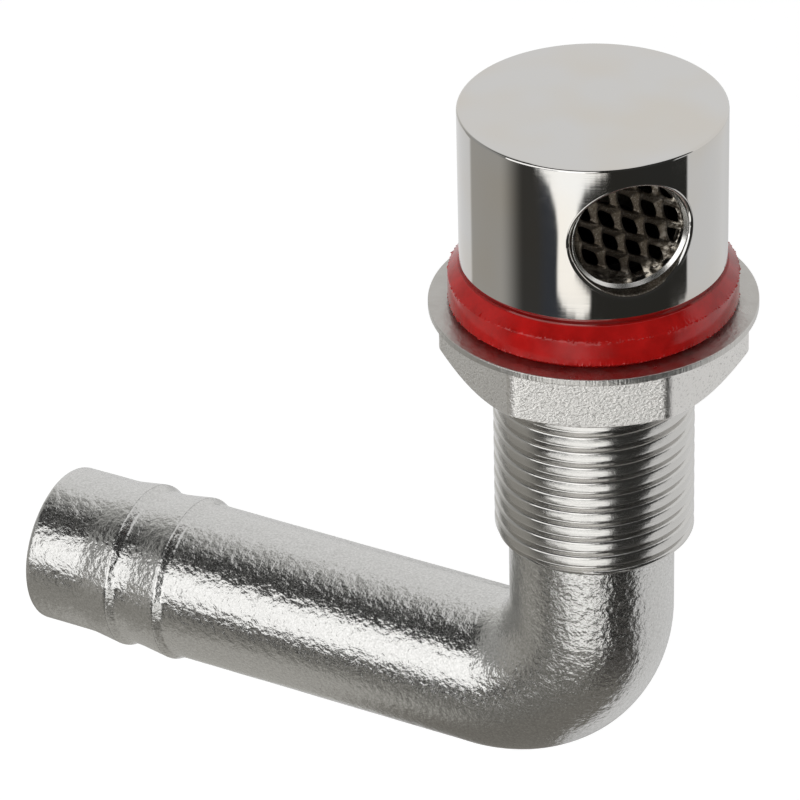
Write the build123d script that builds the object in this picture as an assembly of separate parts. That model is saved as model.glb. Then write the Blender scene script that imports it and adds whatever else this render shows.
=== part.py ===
from build123d import *
import math
import os

# A through-hull tank vent in cast stainless steel, with a 90 degree hose tail.
# Units are millimetres and +Z is up.
# The origin is on the hull thread's axis, in the plane where the red gasket meets the hull's outside.
# The hose tail runs towards -X, and the vent hole faces a direction between +X and -Y.

# Hull thread and the shank that carries it (a 1/2 inch parallel pipe thread, 14 to the inch)
thread_major_diameter = 20.955
thread_length_below_seat = 27.9
thread_end_chamfer = 0.9
thread_end_chamfer_height = 0.8

# Cast elbow and hose tail
pipe_diameter = 17.5
pipe_bore_diameter = 13.5
bend_radius = 12.1
tail_drop = 49.2
tail_reach = 66.9
casting_offset = 0.35
pipe_end_chamfer = 0.45

# Hose ridges, each with a long ramp from the open end, a land and a short back
ridge_height = 0.5
ridge_ramp_length = 3.5
ridge_back_length = 0.7
ridge_land_length = 0.4
ridge_first_from_end = 11.7
ridge_spacing = 6.1
ridge_count = 2

# Polished head
head_diameter = 27.5
head_wall = 4.25
head_roof = 1.95
head_edge_chamfer = 0.22
spigot_height = 2.8

# Vent hole in the head's side
vent_hole_diameter = 12.2
vent_hole_azimuth = 45.0
vent_web_below = 0.3
vent_web_above = 0.4
vent_mouth_chamfer = 0.3
screen_ledge_width = 0.6

# Flame screen, a domed disc of expanded metal, and the ring that holds it
screen_thickness = 0.6
screen_rim_width = 0.45
screen_dome_rise = 0.45
mesh_long_way = 4.65
mesh_short_way = 2.54
mesh_strand_width = 0.75
mesh_corner_chamfer = 0.2
mesh_turn = -52.7
mesh_offset_across = 0.21
mesh_offset_up = 0.57
least_opening_share = 0.25
ring_wall = 0.38
ring_length = 1.1
ring_setback = 0.1
ring_rim_chamfer = 0.12

# Red gasket between the head and the hull
gasket_diameter = 29.9
gasket_thickness = 4.45
gasket_shoulder_height = 3.2
gasket_shoulder_inset = 1.1
gasket_foot_bevel = 0.5

# Flat washer, punched from sheet
washer_diameter = 34.0
washer_thickness = 0.7

# Cast hexagon nut
nut_height = 6.8
nut_across_flats = 28.0
nut_corner_radius = 0.8
nut_chamfer_angle = 30.0
nut_bore_chamfer = 0.8
nut_rest_angle = 25.8

# Clearances, and how far a cut runs past the faces it opens
press_gap = 0.02
running_gap = 0.05
gasket_gap = 0.3
washer_gap = 0.3
screen_gap = 0.05
cut_margin = 1.0

# Derived sizes
thread_radius = thread_major_diameter / 2
pipe_radius = pipe_diameter / 2
head_radius = head_diameter / 2
chamber_radius = head_radius - head_wall
vent_radius = vent_hole_diameter / 2
head_bottom = gasket_thickness
spigot_top = head_bottom + spigot_height
vent_centre_z = spigot_top + vent_web_below + vent_radius
head_height = spigot_height + vent_web_below + vent_hole_diameter + vent_web_above + head_roof
head_top = head_bottom + head_height
leg_x = -casting_offset
nut_top = -washer_thickness
nut_bottom = nut_top - nut_height

# Distances from the head's axis along the vent hole
vent_breakout = math.sqrt(head_radius**2 - vent_radius**2)
ring_front = vent_breakout - ring_setback
ring_back = ring_front - ring_length
screen_back = ring_back - screen_thickness

vent_turn = math.radians(vent_hole_azimuth)
vent_plane = Plane(
    origin=(0, 0, vent_centre_z),
    x_dir=(math.cos(vent_turn), math.sin(vent_turn), 0),
    z_dir=(math.sin(vent_turn), -math.cos(vent_turn), 0),
)

# Cylinders stand on their base
UPWARD = (Align.CENTER, Align.CENTER, Align.MIN)


def along_vent(distance):
    """The plane across the vent hole at a distance from the head's axis, with Y up."""
    return vent_plane.offset(distance)


def vent_rod(radius, start, end):
    """A rod on the vent hole's axis."""
    return extrude(along_vent(start) * Circle(radius), amount=end - start)


def turned(points):
    """A solid of revolution about Z from (radius, height) corners."""
    outline = Polyline(*[(radius, 0, height) for radius, height in points], close=True)
    return revolve(make_face(outline), Axis.Z)


def pipe_run(radius, top):
    """A leg, a quarter bend and a level tail, as one round rod that ends at the tail's open end."""
    corner = (leg_x, 0, -tail_drop)
    route = FilletPolyline((leg_x, 0, top), corner, (-tail_reach, 0, -tail_drop), radius=bend_radius)
    start = Plane(origin=(leg_x, 0, top), z_dir=(0, 0, -1))
    return sweep(start * Circle(radius), path=route)


def hose_ridge(back_from_end):
    """One ridge of the hose tail, ramped on its open-end side, with a short land at its crest."""
    land_end = back_from_end - ridge_back_length
    land_start = land_end - ridge_land_length
    front = land_start - ridge_ramp_length
    root = pipe_radius - ridge_height
    crest = pipe_radius + ridge_height
    corners = [(front, root), (front, pipe_radius), (land_start, crest)]
    corners += [(land_end, crest), (back_from_end, pipe_radius), (back_from_end, root)]
    outline = [(along - tail_reach, 0, radius - tail_drop) for along, radius in corners]
    section = make_face(Polyline(*outline, close=True))
    return revolve(section, Axis((0, 0, -tail_drop), (1, 0, 0)))


def make_elbow_body():
    """Threaded shank, cast elbow and hose tail in one piece, with a bore from end to end."""
    thread_end = -thread_length_below_seat
    shank = turned([
        (0, thread_end),
        (thread_radius - thread_end_chamfer, thread_end),
        (thread_radius, thread_end + thread_end_chamfer_height),
        (thread_radius, head_bottom),
        (chamber_radius - press_gap, head_bottom),
        (chamber_radius - press_gap, spigot_top),
        (0, spigot_top),
    ])
    pipe = pipe_run(pipe_radius, thread_end + thread_end_chamfer_height)
    pipe = chamfer(pipe.faces().sort_by(Axis.X)[0].edges(), pipe_end_chamfer)
    ridges = [hose_ridge(ridge_first_from_end + index * ridge_spacing) for index in range(ridge_count)]
    body = shank + pipe
    for ridge in ridges:
        body += ridge
    return body - pipe_run(pipe_bore_diameter / 2, spigot_top)


def make_vent_head():
    """Polished cap with a closed roof, a chamber open below and a stepped hole in its side."""
    head = Pos(0, 0, head_bottom) * Cylinder(head_radius, head_height, align=UPWARD)
    head = chamfer(head.edges().sort_by(Axis.Z)[-1], head_edge_chamfer)
    head -= vent_rod(vent_radius, screen_back, head_radius + cut_margin)
    plain = (GeomType.LINE, GeomType.CIRCLE)
    mouth = [edge for edge in head.edges() if edge.geom_type not in plain]
    head = chamfer(mouth, vent_mouth_chamfer)
    chamber_height = head_height - head_roof
    chamber = Cylinder(chamber_radius, chamber_height, align=UPWARD)
    head -= Pos(0, 0, head_bottom) * chamber
    return head - vent_rod(vent_radius - screen_ledge_width, 0, screen_back + screen_thickness)


def mesh_openings():
    """The diamond openings of the expanded metal, as flat faces on the screen's own plane."""
    half_angle = math.atan2(mesh_short_way, mesh_long_way)
    side = math.hypot(mesh_long_way, mesh_short_way) / 2
    pitch_across_strand = side * math.sin(2 * half_angle)
    share_open = 1 - mesh_strand_width / pitch_across_strand
    long_half = mesh_long_way / 2 * share_open
    short_half = mesh_short_way / 2 * share_open
    diamond = Polyline((long_half, 0), (0, short_half), (-long_half, 0), (0, -short_half), close=True)
    diamond = make_face(diamond)
    diamond = chamfer(diamond.vertices(), mesh_corner_chamfer)
    clear_radius = vent_radius - screen_gap - screen_rim_width
    window = Circle(clear_radius)
    reach = math.ceil(2 * clear_radius / mesh_short_way)
    least_area = diamond.area * least_opening_share
    faces = []
    for row in range(-reach, reach + 1):
        for column in range(-reach, reach + 1):
            if (row + column) % 2:
                continue
            place = Pos(column * mesh_long_way / 2, row * mesh_short_way / 2)
            placed = Pos(mesh_offset_across, mesh_offset_up) * Rot(0, 0, mesh_turn) * place * diamond
            cut = placed & window
            for face in cut.faces() if cut else []:
                if face.area > least_area:
                    faces.append(face)
    return faces


def make_flame_screen():
    """Domed disc of expanded metal with a flat rim that lies on the ledge in the vent hole."""
    rim_radius = vent_radius - screen_gap
    dome_base = rim_radius - screen_rim_width
    dome_radius = (dome_base**2 + screen_dome_rise**2) / (2 * screen_dome_rise)
    skin = [
        Line((0, screen_dome_rise), (0, screen_dome_rise + screen_thickness)),
        RadiusArc((0, screen_dome_rise + screen_thickness), (dome_base, screen_thickness), dome_radius),
        Line((dome_base, screen_thickness), (rim_radius, screen_thickness)),
        Line((rim_radius, screen_thickness), (rim_radius, 0)),
        Line((rim_radius, 0), (dome_base, 0)),
        RadiusArc((dome_base, 0), (0, screen_dome_rise), -dome_radius),
    ]
    disc = revolve(Plane.XZ * make_face(skin), Axis.Z)
    for opening in mesh_openings():
        disc -= extrude(opening, amount=screen_thickness + screen_dome_rise + cut_margin)
    return along_vent(screen_back) * disc


def make_screen_ring():
    """Thin ring pressed into the vent hole in front of the screen, with its front rim broken on both sides."""
    outer = vent_radius - press_gap
    inner = vent_radius - ring_wall
    ring = vent_rod(outer, ring_back, ring_front)
    ring -= vent_rod(inner, ring_back - cut_margin, ring_front + cut_margin)
    rim_face = ring.faces().filter_by(GeomType.PLANE).sort_by_distance(along_vent(ring_front).origin)[0]
    return chamfer(rim_face.edges(), ring_rim_chamfer)


def make_gasket():
    """Moulded seal with a sloping shoulder up to the head and a bevelled foot."""
    bore = thread_radius + gasket_gap
    outer = gasket_diameter / 2
    return turned([
        (bore, 0),
        (outer - gasket_foot_bevel, 0),
        (outer, gasket_foot_bevel),
        (outer, gasket_shoulder_height),
        (outer - gasket_shoulder_inset, gasket_thickness),
        (bore, gasket_thickness),
    ])


def make_flat_washer():
    """Thin round washer that the nut turns against."""
    washer = Circle(washer_diameter / 2) - Circle(thread_radius + washer_gap)
    return Pos(0, 0, nut_top) * extrude(washer, amount=washer_thickness)


def make_hex_nut():
    """Cast hexagon nut with rounded corners, flat on top and with a conical chamfer below."""
    flat_radius = nut_across_flats / 2
    hexagon = RegularPolygon(flat_radius, side_count=6, major_radius=False)
    hexagon = fillet(hexagon.vertices(), nut_corner_radius)
    prism = Pos(0, 0, nut_bottom) * extrude(hexagon, amount=nut_height)
    corner_radius = flat_radius / math.cos(math.pi / 6)
    rise = (corner_radius - flat_radius) * math.tan(math.radians(nut_chamfer_angle))
    limit = turned([
        (0, nut_bottom),
        (flat_radius, nut_bottom),
        (corner_radius, nut_bottom + rise),
        (corner_radius, nut_top),
        (0, nut_top),
    ])
    bore = thread_radius + running_gap
    hole = turned([
        (0, nut_bottom - cut_margin),
        (bore + nut_bore_chamfer, nut_bottom - cut_margin),
        (bore + nut_bore_chamfer, nut_bottom),
        (bore, nut_bottom + nut_bore_chamfer),
        (bore, nut_top + cut_margin),
        (0, nut_top + cut_margin),
    ])
    return Rot(0, 0, nut_rest_angle) * ((prism & limit) - hole)


PARTS = {
    "elbow_body": make_elbow_body,
    "vent_head": make_vent_head,
    "flame_screen": make_flame_screen,
    "screen_ring": make_screen_ring,
    "gasket": make_gasket,
    "flat_washer": make_flat_washer,
    "hex_nut": make_hex_nut,
}

os.makedirs("parts", exist_ok=True)
for name, make in PARTS.items():
    export_step(make(), f"parts/{name}.step")
    print(name, "written")
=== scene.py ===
# %% [markdown]
# # A tank vent in polished, cast and blasted steel
#
# This lesson dresses a small boat fitting: the vent of a fuel tank. A polished cap with a meshed hole sits on a
# threaded shank, and an elbow leads from it to a hose tail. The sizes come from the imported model, which is loaded
# first. Blender adds what the plain solids leave out: the thread, rounded edges, the skin of the casting, the
# stretched mesh and the finish of each metal.

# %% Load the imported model
import math
import bpy
import bmesh
import numpy as np
from mathutils import Matrix, Vector, noise
from mathutils.kdtree import KDTree


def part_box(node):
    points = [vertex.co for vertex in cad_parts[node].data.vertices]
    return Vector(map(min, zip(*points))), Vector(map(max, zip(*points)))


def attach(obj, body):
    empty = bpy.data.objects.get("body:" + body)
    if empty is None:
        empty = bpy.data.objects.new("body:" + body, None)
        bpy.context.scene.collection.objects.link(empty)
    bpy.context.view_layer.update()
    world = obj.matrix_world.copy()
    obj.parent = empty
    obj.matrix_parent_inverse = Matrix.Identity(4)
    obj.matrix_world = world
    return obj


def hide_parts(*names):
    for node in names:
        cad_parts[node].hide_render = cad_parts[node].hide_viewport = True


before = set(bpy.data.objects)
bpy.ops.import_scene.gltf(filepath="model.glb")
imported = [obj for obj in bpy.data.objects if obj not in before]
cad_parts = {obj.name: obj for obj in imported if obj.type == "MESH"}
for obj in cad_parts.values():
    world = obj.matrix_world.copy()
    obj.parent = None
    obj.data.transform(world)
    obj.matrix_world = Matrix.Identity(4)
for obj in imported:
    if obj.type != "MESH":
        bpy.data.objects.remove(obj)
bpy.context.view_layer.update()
print("nodes:", sorted(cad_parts))

# %% [markdown]
# Every length below is in millimetres, because that is how such a fitting is drawn. Only the last step of each
# piece turns it into metres. The sizes that the solids already have are read from their boxes, so that a piece can
# never drift from the solid that it stands for.

# %% Sizes from the solids
MM = 0.001


def box_mm(node):
    """Lowest and highest corner of a solid, in millimetres."""
    low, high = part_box(node)
    return np.array(low) / MM, np.array(high) / MM


elbow_low, elbow_high = box_mm("elbow_body")
head_low, head_high = box_mm("vent_head")
gasket_low, gasket_high = box_mm("gasket")
washer_low, washer_high = box_mm("flat_washer")
nut_low, nut_high = box_mm("hex_nut")

thread_radius = elbow_high[1]
spigot_top = elbow_high[2]
tail_end = elbow_low[0]
head_radius = head_high[0]
head_foot = head_low[2]
head_top = head_high[2]
gasket_radius = gasket_high[0]
washer_radius = washer_high[0]
washer_foot = washer_low[2]
nut_foot = nut_low[2]
nut_top = nut_high[2]
print("thread radius", round(thread_radius, 3), "head radius", round(head_radius, 3))

# %% [markdown]
# The rest of the shape needs sizes that no box shows, such as the bore, the ridges of the hose tail and the pitch
# of the thread. A half inch pipe thread has fourteen turns to the inch.

# %% Sizes inside the pieces
pipe_radius = 8.75
bore_radius = 6.75
bend_radius = 12.1
leg_x = -0.35
tail_z = elbow_low[2] + pipe_radius + 0.5
chamber_radius = head_radius - 4.25
spigot_radius = chamber_radius - 0.02
thread_foot = -27.9
thread_chamfer_width = 0.9
thread_chamfer_height = 0.8
pitch = 25.4 / 14
print("tail axis height", round(tail_z, 3), "pitch", round(pitch, 4))

# %% [markdown]
# ## The camera
#
# The photograph was taken with a long lens from about thirty degrees above the fitting, with the hose tail pointing
# away to the left. The camera is built from its two angles, its small roll and its distance. The two shifts are
# steps to the side and up, in millimetres, because a sideways step keeps the lens straight.

# %% Camera
camera_azimuth = math.radians(29.756)
camera_elevation = math.radians(30.979)
camera_roll = math.radians(-1.458)
camera_distance = 577.03
camera_side_step = -20.571
camera_up_step = 18.315
camera_aim = Vector((0, 0, -33.825))
lens_pixels = 5456.43
picture_width = 800
sensor_width = 36.0

towards_camera = Vector((
    math.sin(camera_azimuth) * math.cos(camera_elevation),
    -math.cos(camera_azimuth) * math.cos(camera_elevation),
    math.sin(camera_elevation),
))
level_right = Vector((math.cos(camera_azimuth), math.sin(camera_azimuth), 0))
level_up = towards_camera.cross(level_right)
camera_right = math.cos(camera_roll) * level_right + math.sin(camera_roll) * level_up
camera_up = math.cos(camera_roll) * level_up - math.sin(camera_roll) * level_right
camera_place = camera_aim + camera_distance * towards_camera
camera_place += camera_side_step * camera_right + camera_up_step * camera_up

camera_data = bpy.data.cameras.new("camera")
camera_data.sensor_fit = "HORIZONTAL"
camera_data.sensor_width = sensor_width
camera_data.lens = lens_pixels / picture_width * sensor_width
camera_data.clip_start = 0.01
camera_data.clip_end = 20
camera = bpy.data.objects.new("camera", camera_data)
camera_turn = Matrix((camera_right, camera_up, towards_camera)).transposed().to_4x4()
camera.matrix_world = Matrix.Translation(camera_place * MM) @ camera_turn
bpy.context.scene.collection.objects.link(camera)
bpy.context.scene.camera = camera
print("camera at", [round(value, 1) for value in camera_place], "lens", round(camera_data.lens, 1))

# %% [markdown]
# ## Turning rings into a skin
#
# All the metal pieces here are round things: turned, drawn or cast about an axis. Such a piece is easiest as a
# stack of rings with the same number of points, with quads between one ring and the next. `band` makes those quads.
# A ring that shrinks to one point closes a pole, and rings that meet become one when the doubles are merged.

# %% Bands of quads between rings
MERGE_DISTANCE = 1e-7


def band(rings, wrap=True):
    """Points and quads between rings, given as an array of rows, columns and x, y, z."""
    rows, columns = rings.shape[:2]
    across = columns if wrap else columns - 1
    row = np.arange(rows - 1)[:, None] * columns
    column = np.arange(across)[None, :]
    beside = (column + 1) % columns
    quads = np.stack([row + column, row + beside, row + columns + beside, row + columns + column], axis=-1)
    return rings.reshape(-1, 3), quads.reshape(-1, 4)


def make_piece(name, bands, sharp_angle=40):
    """One closed mesh object from bands in millimetres, merged where they meet, with its faces outwards."""
    points = np.concatenate([band_points for band_points, band_quads in bands])
    starts = np.cumsum([0] + [len(band_points) for band_points, band_quads in bands])
    quads = np.concatenate([band_quads + start for (band_points, band_quads), start in zip(bands, starts)])
    mesh = bpy.data.meshes.new(name)
    mesh.from_pydata((points * MM).tolist(), [], quads.tolist())
    work = bmesh.new()
    work.from_mesh(mesh)
    bmesh.ops.remove_doubles(work, verts=work.verts, dist=MERGE_DISTANCE)
    bmesh.ops.recalc_face_normals(work, faces=work.faces)
    open_edges = sum(not edge.is_manifold for edge in work.edges)
    work.to_mesh(mesh)
    work.free()
    mesh.shade_smooth()
    mesh.set_sharp_from_angle(angle=math.radians(sharp_angle))
    piece = bpy.data.objects.new(name, mesh)
    bpy.context.scene.collection.objects.link(piece)
    print(name, len(mesh.polygons), "faces,", open_edges, "open edges")
    return piece


def circle_angles(count):
    """Angles of evenly spaced columns round an axis."""
    return np.arange(count) * 2 * math.pi / count


def mark_second_finish(piece, is_second):
    """Gives the faces whose middle passes a test, in millimetres, to the piece's second material."""
    for face in piece.data.polygons:
        if is_second(np.array(face.center) / MM):
            face.material_index = 1


# %% [markdown]
# ## Edges that catch the light
#
# Even a sharp turned edge has a rounding of a few hundredths of a millimetre, and that is what draws the bright
# line along it. `rounded_outline` walks round the corners of a section and puts a small arc at each. It also puts
# a point close beside each arc, so that the smooth shading of the arc doesn't spill over the flat next to it.

# %% Outlines with rounded corners
ARC_STEPS = 4
HUG_SHARE = 0.35
LARGEST_SETBACK_SHARE = 0.45


def unit(vector):
    """The vector at length one."""
    return vector / np.linalg.norm(vector)


def rounded_corner(before, here, after, rounding):
    """Points of the arc at one corner, with one point on each side that hugs it."""
    back = before - here
    ahead = after - here
    half_angle = 0.5 * math.acos(np.clip(np.dot(unit(back), unit(ahead)), -1, 1))
    room = LARGEST_SETBACK_SHARE * min(np.linalg.norm(back), np.linalg.norm(ahead))
    setback = min(rounding / math.tan(half_angle), room)
    radius = setback * math.tan(half_angle)
    start = here + setback * unit(back)
    end = here + setback * unit(ahead)
    centre = here + unit(unit(back) + unit(ahead)) * radius / math.sin(half_angle)
    turn = math.pi - 2 * half_angle
    points = [start + HUG_SHARE * setback * unit(back)]
    for step in range(ARC_STEPS + 1):
        share = step / ARC_STEPS
        to_start = math.sin((1 - share) * turn) / math.sin(turn)
        to_end = math.sin(share * turn) / math.sin(turn)
        points.append(centre + to_start * (start - centre) + to_end * (end - centre))
    points.append(end + HUG_SHARE * setback * unit(ahead))
    return points


def rounded_outline(corners, closed=True):
    """(radius, height) points along an outline. Each corner is (radius, height, rounding)."""
    spots = [np.array(corner[:2], float) for corner in corners]
    points = []
    for index, corner in enumerate(corners):
        at_end = index in (0, len(corners) - 1)
        if corner[2] == 0 or (at_end and not closed):
            points.append(spots[index])
            continue
        before = spots[index - 1]
        after = spots[(index + 1) % len(corners)]
        points.extend(rounded_corner(before, spots[index], after, corner[2]))
    return np.array(points)


def filled_outline(points, longest):
    """The same outline with extra points wherever two lie further apart than longest."""
    filled = [points[0]]
    for start, end in zip(points[:-1], points[1:]):
        steps = max(1, math.ceil(np.linalg.norm(end - start) / longest))
        filled.extend(start + (end - start) * step / steps for step in range(1, steps + 1))
    return np.array(filled)


def turned_rings(outline, angles):
    """Rings about the Z axis through each (radius, height) point of an outline."""
    radius = outline[:, 0][:, None]
    height = np.repeat(outline[:, 1][:, None], len(angles), axis=1)
    return np.stack([radius * np.cos(angles), radius * np.sin(angles), height], axis=-1)


def closed_rings(rings):
    """The same rings with the first one again at the end."""
    return np.concatenate([rings, rings[:1]])


# %% [markdown]
# ## The thread
#
# A screw thread is one ridge wound as a helix. A grid of level rings would cut across it and leave ragged steps, so
# the grid here is sheared: each row climbs by one pitch on its way round and then meets the row one turn further
# up. Every row then runs exactly along the ridge. In the photograph the crests are wide, smooth lands and the grooves
# narrow, so the section is a land that swells a little, with a rounded groove whose flanks are as steep as those of
# a pipe thread. At its two ends the grid is cut level by clamping its heights, and the doubles there are merged.
#
# The phase of the helix is taken from the photograph: facing the camera, one groove lies at a known height. A helix
# that is turned about its axis and moved along it at one pitch a turn falls on itself, so the nut's thread can use
# the same phase and still fits at every place of its travel.

# %% Helical grid
groove_half_width = 0.42
groove_depth = 0.56
land_swell = 0.06
groove_height = -12.19
groove_angle = camera_azimuth - math.pi / 2
rows_per_turn = 20


def thread_surface(angle, height, crest_radius):
    """Radius of the thread at an angle and a height."""
    turns = (height - groove_height) / pitch - (angle - groove_angle) / (2 * math.pi)
    from_groove = np.abs(turns - np.round(turns)) * pitch
    reach = np.minimum(from_groove / groove_half_width, 1)
    groove = groove_depth * (1 + np.cos(math.pi * reach)) / 2
    from_crest = 1 - from_groove / (pitch / 2)
    return crest_radius - groove - land_swell * from_crest**2


def thread_band(angles, foot, top, surface):
    """Sheared grid of a thread between two heights. surface gives the radius at an angle and a height."""
    around = np.append(angles, angles[0] + 2 * math.pi)
    turns = math.ceil((top - foot) / pitch) + 2
    start = top + pitch
    drop = np.arange(turns * rows_per_turn + 1) * pitch / rows_per_turn
    height = start + (around - around[0])[None, :] / (2 * math.pi) * pitch - pitch - drop[:, None]
    height = np.clip(height, foot, top)
    angle = np.repeat(around[None, :], len(drop), axis=0)
    radius = surface(angle, height)
    rings = np.stack([radius * np.cos(angle), radius * np.sin(angle), height], axis=-1)
    return band(rings, wrap=False)


def threaded_ring(angles, height, surface):
    """Level ring that closes a thread at one of its ends."""
    level = np.full(len(angles), height)
    radius = surface(angles, level)
    return np.stack([radius * np.cos(angles), radius * np.sin(angles), level], axis=-1)


# %% [markdown]
# ## The elbow body
#
# The shank, the elbow and the hose tail are one casting with a bore through it. Its skin is one long chain of rings:
# from the foot of the thread down the leg, round the bend, along the tail over its two ridges, round the open end,
# back through the bore and up over the spigot to the top of the thread. The rings follow a route of a straight leg,
# a quarter circle and a straight tail.

# %% Route of the pipe
leg_length = spigot_top - tail_z - bend_radius
bend_length = bend_radius * math.pi / 2
bend_end = leg_x - bend_radius
tail_length = bend_end - tail_end
body_angles = circle_angles(144)


def route_ring(distance, radius):
    """Ring round the pipe's middle line, at a distance along it from the top of the spigot."""
    if distance < leg_length:
        centre = np.array((leg_x, 0, spigot_top - distance))
        outwards = np.array((1.0, 0, 0))
    elif distance < leg_length + bend_length:
        turn = (distance - leg_length) / bend_radius
        outwards = np.array((math.cos(turn), 0, -math.sin(turn)))
        centre = np.array((bend_end, 0, tail_z + bend_radius)) + bend_radius * outwards
    else:
        past_bend = distance - leg_length - bend_length
        centre = np.array((bend_end - past_bend, 0, tail_z))
        outwards = np.array((0, 0, -1.0))
    sideways = np.array((0, 1.0, 0))
    around = np.cos(body_angles)[:, None] * outwards + np.sin(body_angles)[:, None] * sideways
    return centre + radius * around


# %% Outline of the pipe along its route
route_length = leg_length + bend_length + tail_length
neck_start = spigot_top - thread_foot
ridge_height = 0.5
ridge_ramp = 3.5
ridge_land = 0.3
ridge_back = 0.8
ridge_first_from_end = 11.7
ridge_spacing = 6.1
ridge_count = 2
tail_end_rounding = 0.6
ramp_foot_rounding = 10
ramp_crest_rounding = 6
back_crest_rounding = 0.9
back_foot_rounding = 0.6
neck_softness = 0.5


def pipe_outline():
    """(distance, radius) points of the pipe's outside, from the thread's foot to the open end and into the bore."""
    corners = [(neck_start, pipe_radius + 0.7, 0), (neck_start, pipe_radius, neck_softness)]
    for index in reversed(range(ridge_count)):
        back = route_length - ridge_first_from_end - index * ridge_spacing
        crest_start = back + ridge_back
        crest_end = crest_start + ridge_land
        corners.append((back, pipe_radius, back_foot_rounding))
        corners.append((crest_start, pipe_radius + ridge_height, back_crest_rounding))
        corners.append((crest_end, pipe_radius + ridge_height, ramp_crest_rounding))
        corners.append((crest_end + ridge_ramp, pipe_radius, ramp_foot_rounding))
    corners.append((route_length, pipe_radius, tail_end_rounding))
    corners.append((route_length, bore_radius, 0.25))
    corners.append((route_length - 4, bore_radius, 0))
    return filled_outline(rounded_outline(corners, closed=False), 0.55)


outside = pipe_outline()
print("pipe outline has", len(outside), "rings over", round(route_length, 1), "mm")

# %% [markdown]
# The thread is turned on the casting and its end is cut by a small chamfer. The chamfer is a cone that the thread's
# surface may not pass, so the smaller of the two radii holds. Inside the gasket, where nothing shows, the thread
# just stops below the head.

# %% Skin of the elbow body
thread_top = 3.2


def shank_surface(angle, height):
    """Radius of the shank's thread, cut back by the chamfer at its foot."""
    slope = thread_chamfer_width / thread_chamfer_height
    cone = thread_radius - (thread_foot + thread_chamfer_height - height) * slope
    return np.minimum(thread_surface(angle, height, thread_radius), cone)


def cast_skin(rings, size, height):
    """Rings drawn in here and there by up to a height, as the skin of a casting is never true."""
    flat = rings.reshape(-1, 3)
    middle = np.repeat(rings.mean(axis=1), rings.shape[1], axis=0)
    outwards = flat - middle
    outwards /= np.linalg.norm(outwards, axis=1)[:, None]
    sink = np.array([0.5 - 0.5 * noise.noise(Vector(point) / size) for point in flat])
    return (flat - outwards * sink[:, None] * height).reshape(rings.shape)


def make_elbow_body():
    """Closed skin of the casting with its turned thread."""
    pipe = np.array([route_ring(distance, radius) for distance, radius in outside])
    pipe[4:] = cast_skin(pipe[4:], 5.0, 0.06)
    bore_distances = np.linspace(route_length - 4, 0, 60)
    bore = np.array([route_ring(distance, bore_radius) for distance in bore_distances])
    head_end = turned_rings(np.array([
        (spigot_radius, spigot_top),
        (spigot_radius, head_foot),
        (thread_radius, head_foot),
        (thread_radius, thread_top + 0.1),
    ]), body_angles)
    top_ring = threaded_ring(body_angles, thread_top, shank_surface)[None]
    foot_ring = threaded_ring(body_angles, thread_foot, shank_surface)[None]
    chain = np.concatenate([foot_ring, pipe, bore, head_end, top_ring])
    thread = thread_band(body_angles, thread_foot, thread_top, shank_surface)
    piece = make_piece("elbow_casting", [band(chain), thread])
    mark_second_finish(piece, lambda middle: middle[2] > thread_foot)
    return piece


elbow = make_elbow_body()
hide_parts("elbow_body")
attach(elbow, "vent")

# %% [markdown]
# ## The polished head
#
# The head is a cup turned upside down, with a stepped hole through its wall. A mirror finish shows every wobble of
# the mesh, so a boolean cut won't do. Instead the wall is laid out as a patch: rings run from the round mouth of the
# hole outwards until they meet a rectangle of the wall's own grid. All points lie exactly on the cylinder.
#
# The edge of the mouth is rolled round with a ball of a given radius that touches both the wall and the hole. Its
# centre runs where the two surfaces, each moved inwards by that radius, cross.

# %% Places round the vent hole
vent_turn = math.radians(45)
vent_across = np.array((math.cos(vent_turn), math.sin(vent_turn), 0))
vent_outwards = np.array((math.sin(vent_turn), -math.cos(vent_turn), 0))
upwards = np.array((0, 0, 1.0))
vent_radius = 6.1
vent_z = spigot_top + 0.3 + vent_radius
ledge_radius = vent_radius - 0.6
ring_front = math.sqrt(head_radius**2 - vent_radius**2) - 0.1
ring_length = 1.1
screen_thickness = 0.6
screen_back = ring_front - ring_length - screen_thickness


def beside_vent(across, up, outwards):
    """A point given by its offsets from where the hole's axis crosses the head's axis."""
    across = np.asarray(across, float)[..., None]
    up = np.asarray(up, float)[..., None]
    outwards = np.asarray(outwards, float)[..., None]
    return across * vent_across + up * upwards + outwards * vent_outwards + np.array((0, 0, vent_z))


print("hole axis at height", round(vent_z, 2), "screen from", round(screen_back, 2), "to", round(ring_front, 2))

# %% Layout of the wall
patch_half_angle = 0.8
patch_columns = 60
patch_rows = 36
rest_columns = 176
patch_angles = np.linspace(-patch_half_angle, patch_half_angle, patch_columns + 1)
rest_angles = np.linspace(patch_half_angle, 2 * math.pi - patch_half_angle, rest_columns + 1)
wall_angles = np.concatenate([patch_angles[:-1], rest_angles[:-1]])
top_edge_rounding = 0.3
foot_height = 0.7
foot_lean = math.radians(18)
foot_rounding = 0.03
mouth_rounding = 0.4
outer_heights = np.linspace(head_foot + foot_height, head_top - top_edge_rounding, patch_rows + 1)
chamber_top = vent_z + vent_radius + 0.4
inner_heights = np.linspace(head_foot + 0.3, chamber_top - 0.3, patch_rows + 1)


def wall_points(radius, angle, height):
    """Points of a round wall, by the angle from the hole's middle and the height."""
    angle = np.asarray(angle, float)
    height = np.asarray(height, float) - vent_z
    return beside_vent(radius * np.sin(angle), height, radius * np.cos(angle))


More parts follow.
